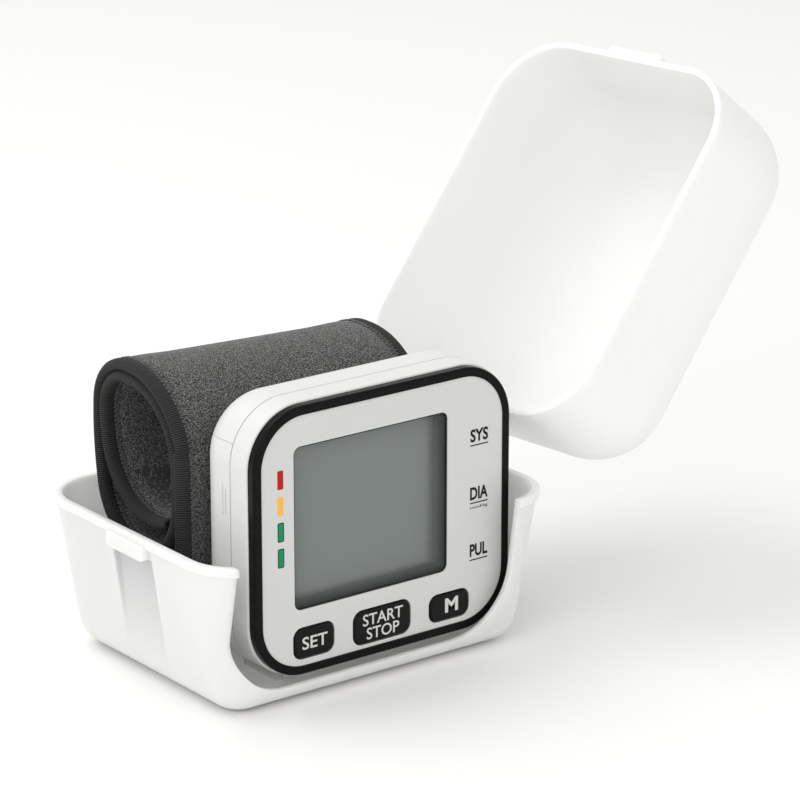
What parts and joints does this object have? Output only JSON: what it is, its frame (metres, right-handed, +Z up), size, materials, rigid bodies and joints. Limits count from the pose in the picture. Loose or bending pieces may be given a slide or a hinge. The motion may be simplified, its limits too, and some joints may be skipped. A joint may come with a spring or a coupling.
{
  "type": "wrist blood pressure monitor in case",
  "caption": "Wrist blood pressure monitor with a rolled fabric cuff, a rounded display unit and side keys below it, standing in a frosted hinged storage case.",
  "frame": {"origin": "centre of the storage case's flat base, on the surface it stands on", "axes": "+Z up, display facing -Y, case hinge on the +X side"},
  "size_m": [0.1814, 0.0841, 0.1298],
  "materials": {
    "case_plastic": "frosted, slightly translucent moulded polypropylene",
    "steel": "plated steel",
    "ring_black": "glossy black ring",
    "panel_grey": "satin light grey panel",
    "window_clear": "clear window",
    "bar_red": "printed red",
    "bar_amber": "printed amber",
    "bar_green": "printed green",
    "body_white": "satin white moulded plastic",
    "button_black": "glossy black keys",
    "lcd_glass": "grey display glass",
    "lcd_back": "grey-green reflector",
    "inner_plastic": "moulded inner parts",
    "silicone": "silicone rubber",
    "circuit_board": "green circuit board",
    "chip_black": "moulded packages",
    "sensor_metal": "metal can",
    "cell_wrap": "plain wrapped cell",
    "cuff_fabric": "charcoal brushed nylon",
    "cuff_binding": "charcoal woven binding tape",
    "cuff_film": "plastic film",
    "hook_tape": "hook tape"
  },
  "bodies": {
    "case": {"case_tub": "case_plastic", "hinge_pin": "steel"},
    "lid": {"case_lid": "case_plastic"},
    "monitor": {"trim_ring": "ring_black", "face_panel": "panel_grey", "display_window": "window_clear", "bar_red": "bar_red", "bar_amber": "bar_amber", "bar_green": "bar_green", "front_housing": "body_white", "rear_housing": "body_white", "housing_screws": "steel", "lcd_front_glass": "lcd_glass", "lcd_rear_glass": "lcd_glass", "lcd_reflector": "lcd_back", "lcd_holder": "inner_plastic", "zebra_strip": "silicone", "main_pcb": "circuit_board", "key_mat": "silicone", "controller_chip": "chip_black", "small_chips": "chip_black", "pressure_sensor": "sensor_metal", "buzzer": "chip_black", "battery_cells": "cell_wrap", "battery_springs": "steel", "spring_plate": "steel", "button_contacts": "steel", "battery_tray": "inner_plastic", "pump_motor": "steel", "pump_head": "inner_plastic", "pump_diaphragm": "silicone", "valve_coil": "chip_black", "valve_cap": "inner_plastic", "air_manifold": "inner_plastic", "valve_hose": "silicone", "pump_hose": "silicone", "cuff_plate": "inner_plastic", "cuff_plate_screws": "steel", "air_nozzle": "inner_plastic", "cuff_outer_fabric": "cuff_fabric", "cuff_curler": "cuff_film", "cuff_bladder": "cuff_film", "cuff_inner_fabric": "cuff_fabric", "cuff_binding": "cuff_binding", "cuff_hook_patch": "hook_tape"},
    "set_button": {"set_button": "button_black"},
    "start_stop_button": {"start_stop_button": "button_black"},
    "memory_button": {"memory_button": "button_black"},
    "battery_door": {"battery_door": "body_white"},
    "pump_rotor": {"pump_rotor": "inner_plastic"},
    "valve_plunger": {"valve_plunger": "steel", "valve_seal": "silicone"}
  },
  "joints": [
    {"name": "lid_hinge", "type": "hinge", "parent": "case", "child": "lid", "pos_m": [0.05055, 0, 0.0463], "axis": [-0.0349, 0.9994, 0], "range_deg": [-128.5, 0]},
    {"name": "monitor_lift", "type": "slide", "parent": "case", "child": "monitor", "axis": [0, 0, 1], "range_m": [0, 0.09]},
    {"name": "set_button_press", "type": "slide", "parent": "monitor", "child": "set_button", "axis": [0, 1, 0], "range_m": [0, 0.0008], "stiffness_N_per_m": 600, "springref_m": -0.0003},
    {"name": "start_stop_button_press", "type": "slide", "parent": "monitor", "child": "start_stop_button", "axis": [0, 1, 0], "range_m": [0, 0.0008], "stiffness_N_per_m": 800, "springref_m": -0.0003},
    {"name": "memory_button_press", "type": "slide", "parent": "monitor", "child": "memory_button", "axis": [0, 1, 0], "range_m": [0, 0.0008], "stiffness_N_per_m": 600, "springref_m": -0.0003},
    {"name": "battery_door_pull", "type": "slide", "parent": "monitor", "child": "battery_door", "axis": [-1, 0, 0], "range_m": [0, 0.006]},
    {"name": "pump_spin", "type": "hinge", "parent": "monitor", "child": "pump_rotor", "pos_m": [0.0315, -0.0172, 0.04], "axis": [0, 0, 1], "continuous": true},
    {"name": "valve_travel", "type": "slide", "parent": "monitor", "child": "valve_plunger", "axis": [0, 0, -1], "range_m": [0, 0.0008], "stiffness_N_per_m": 300, "springref_m": -0.0005}
  ]
}
